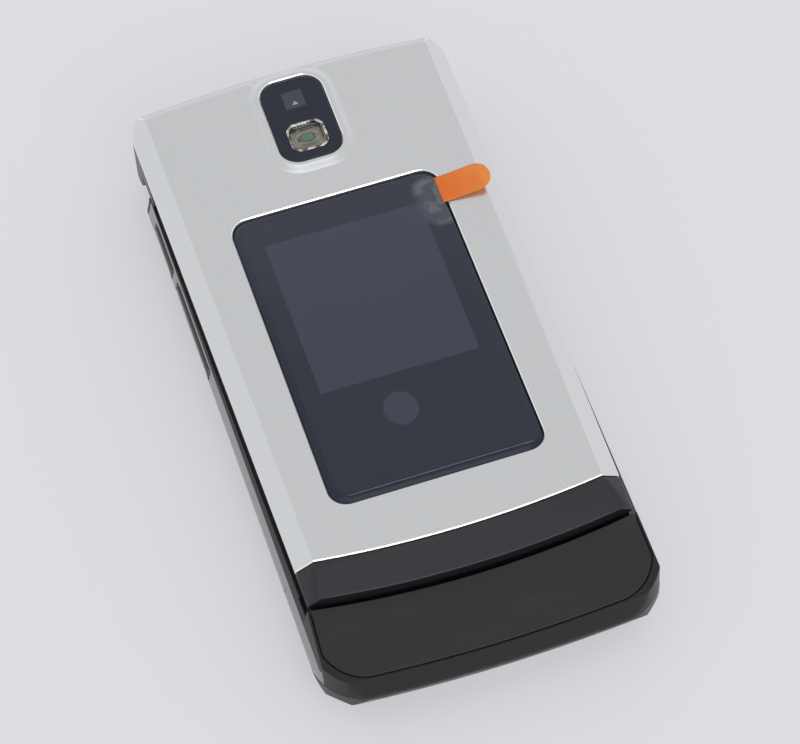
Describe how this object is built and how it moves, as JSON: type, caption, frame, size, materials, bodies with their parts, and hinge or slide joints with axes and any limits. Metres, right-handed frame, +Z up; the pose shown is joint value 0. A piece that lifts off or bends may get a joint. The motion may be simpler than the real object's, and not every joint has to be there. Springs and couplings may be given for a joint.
{
  "type": "flip phone",
  "caption": "Folding mobile phone with a bevelled silver lid, outer display, camera with flash, sloping black chin and a keypad inside; the lid swings on an end hinge.",
  "frame": {"origin": "middle of the back face that rests on the table", "axes": "+X across the phone, +Y towards the hinge end, +Z up out of the closed lid"},
  "size_m": [0.0478, 0.098, 0.0168],
  "materials": {
    "silver_cover": "satin anodised",
    "black_satin": "satin black",
    "black_matte": "fine matte black",
    "gloss_black": "gloss black",
    "grey_plastic": "matte dark grey",
    "display_glass": "gloss black lens",
    "screen": "dark screen",
    "clear_film": "thin film with an orange tab",
    "clear_lens": "clear moulded lens",
    "bright_metal": "bright plated",
    "steel": "plain steel",
    "lamp": "yellow phosphor",
    "rubber_pad": "soft black",
    "key_dark": "satin dark key",
    "key_silver": "silver painted key",
    "key_green": "green marked key",
    "key_red": "red marked key",
    "board": "green board",
    "dome_sheet": "white sheet",
    "battery_skin": "dark wrap"
  },
  "bodies": {
    "base": {"hinge_pin_left": "steel", "hinge_pin_right": "steel", "hinge_arm_left": "grey_plastic", "hinge_arm_right": "grey_plastic", "keypad_cover": "black_matte", "chin_cap": "black_matte", "rear_housing": "grey_plastic", "side_rail_left": "gloss_black", "side_rail_right": "gloss_black", "key_dome_sheet": "dome_sheet", "main_board": "board", "shield_can": "steel", "battery": "battery_skin", "loudspeaker": "black_matte", "vibration_motor": "steel", "card_holder": "steel", "data_port": "steel", "audio_jack": "black_matte", "base_screws": "steel"},
    "lid": {"lid_cover": "silver_cover", "lid_tip_band": "black_satin", "lid_frame": "black_satin", "hinge_barrel": "black_satin", "outer_display_window": "display_glass", "outer_display_panel": "screen", "screen_film": "clear_film", "camera_window": "display_glass", "camera_module": "black_matte", "flash_lens": "clear_lens", "flash_ring": "bright_metal", "flash_led": "lamp", "main_display_window": "display_glass", "main_display_panel": "screen", "earpiece_grille": "steel", "earpiece_speaker": "black_matte", "lid_board": "board", "lid_bumpers": "rubber_pad", "lid_screws": "steel", "hinge_cartridge": "steel"},
    "key_1": {"key_1": "key_dark"},
    "key_2": {"key_2": "key_dark"},
    "key_3": {"key_3": "key_dark"},
    "key_4": {"key_4": "key_dark"},
    "key_5": {"key_5": "key_dark"},
    "key_6": {"key_6": "key_dark"},
    "key_7": {"key_7": "key_dark"},
    "key_8": {"key_8": "key_dark"},
    "key_9": {"key_9": "key_dark"},
    "key_star": {"key_star": "key_dark"},
    "key_0": {"key_0": "key_dark"},
    "key_hash": {"key_hash": "key_dark"},
    "soft_key_left": {"soft_key_left": "key_silver"},
    "soft_key_right": {"soft_key_right": "key_silver"},
    "call_key": {"call_key": "key_green"},
    "end_key": {"end_key": "key_red"},
    "navigation_ring": {"navigation_ring": "key_silver"},
    "select_key": {"select_key": "key_dark"},
    "volume_key": {"volume_key": "gloss_black"},
    "talk_key": {"talk_key": "gloss_black"},
    "battery_cover": {"battery_cover": "grey_plastic"}
  },
  "joints": [
    {"name": "lid_hinge", "type": "hinge", "parent": "base", "child": "lid", "pos_m": [0, 0.04445, 0.0091], "axis": [-1, 0, 0], "range_deg": [0, 160]},
    {"name": "key_1_press", "type": "slide", "parent": "base", "child": "key_1", "axis": [0, 0, -1], "range_m": [0, 0.0003], "stiffness_N_per_m": 4000},
    {"name": "key_2_press", "type": "slide", "parent": "base", "child": "key_2", "axis": [0, 0, -1], "range_m": [0, 0.0003], "stiffness_N_per_m": 4000},
    {"name": "key_3_press", "type": "slide", "parent": "base", "child": "key_3", "axis": [0, 0, -1], "range_m": [0, 0.0003], "stiffness_N_per_m": 4000},
    {"name": "key_4_press", "type": "slide", "parent": "base", "child": "key_4", "axis": [0, 0, -1], "range_m": [0, 0.0003], "stiffness_N_per_m": 4000},
    {"name": "key_5_press", "type": "slide", "parent": "base", "child": "key_5", "axis": [0, 0, -1], "range_m": [0, 0.0003], "stiffness_N_per_m": 4000},
    {"name": "key_6_press", "type": "slide", "parent": "base", "child": "key_6", "axis": [0, 0, -1], "range_m": [0, 0.0003], "stiffness_N_per_m": 4000},
    {"name": "key_7_press", "type": "slide", "parent": "base", "child": "key_7", "axis": [0, 0, -1], "range_m": [0, 0.0003], "stiffness_N_per_m": 4000},
    {"name": "key_8_press", "type": "slide", "parent": "base", "child": "key_8", "axis": [0, 0, -1], "range_m": [0, 0.0003], "stiffness_N_per_m": 4000},
    {"name": "key_9_press", "type": "slide", "parent": "base", "child": "key_9", "axis": [0, 0, -1], "range_m": [0, 0.0003], "stiffness_N_per_m": 4000},
    {"name": "key_star_press", "type": "slide", "parent": "base", "child": "key_star", "axis": [0, 0, -1], "range_m": [0, 0.0003], "stiffness_N_per_m": 4000},
    {"name": "key_0_press", "type": "slide", "parent": "base", "child": "key_0", "axis": [0, 0, -1], "range_m": [0, 0.0003], "stiffness_N_per_m": 4000},
    {"name": "key_hash_press", "type": "slide", "parent": "base", "child": "key_hash", "axis": [0, 0, -1], "range_m": [0, 0.0003], "stiffness_N_per_m": 4000},
    {"name": "soft_key_left_press", "type": "slide", "parent": "base", "child": "soft_key_left", "axis": [0, 0, -1], "range_m": [0, 0.0003], "stiffness_N_per_m": 4000},
    {"name": "soft_key_right_press", "type": "slide", "parent": "base", "child": "soft_key_right", "axis": [0, 0, -1], "range_m": [0, 0.0003], "stiffness_N_per_m": 4000},
    {"name": "call_key_press", "type": "slide", "parent": "base", "child": "call_key", "axis": [0, 0, -1], "range_m": [0, 0.0003], "stiffness_N_per_m": 4000},
    {"name": "end_key_press", "type": "slide", "parent": "base", "child": "end_key", "axis": [0, 0, -1], "range_m": [0, 0.0003], "stiffness_N_per_m": 4000},
    {"name": "navigation_ring_press", "type": "slide", "parent": "base", "child": "navigation_ring", "axis": [0, 0, -1], "range_m": [0, 0.0003], "stiffness_N_per_m": 4000},
    {"name": "select_key_press", "type": "slide", "parent": "base", "child": "select_key", "axis": [0, 0, -1], "range_m": [0, 0.0003], "stiffness_N_per_m": 4000},
    {"name": "volume_key_press", "type": "slide", "parent": "base", "child": "volume_key", "axis": [1, 0, 0], "range_m": [0, 0.0003], "stiffness_N_per_m": 4000},
    {"name": "talk_key_press", "type": "slide", "parent": "base", "child": "talk_key", "axis": [1, 0, 0], "range_m": [0, 0.0003], "stiffness_N_per_m": 4000},
    {"name": "battery_cover_pull", "type": "slide", "parent": "base", "child": "battery_cover", "axis": [0, 0, -1], "range_m": [0, 0.012]}
  ]
}
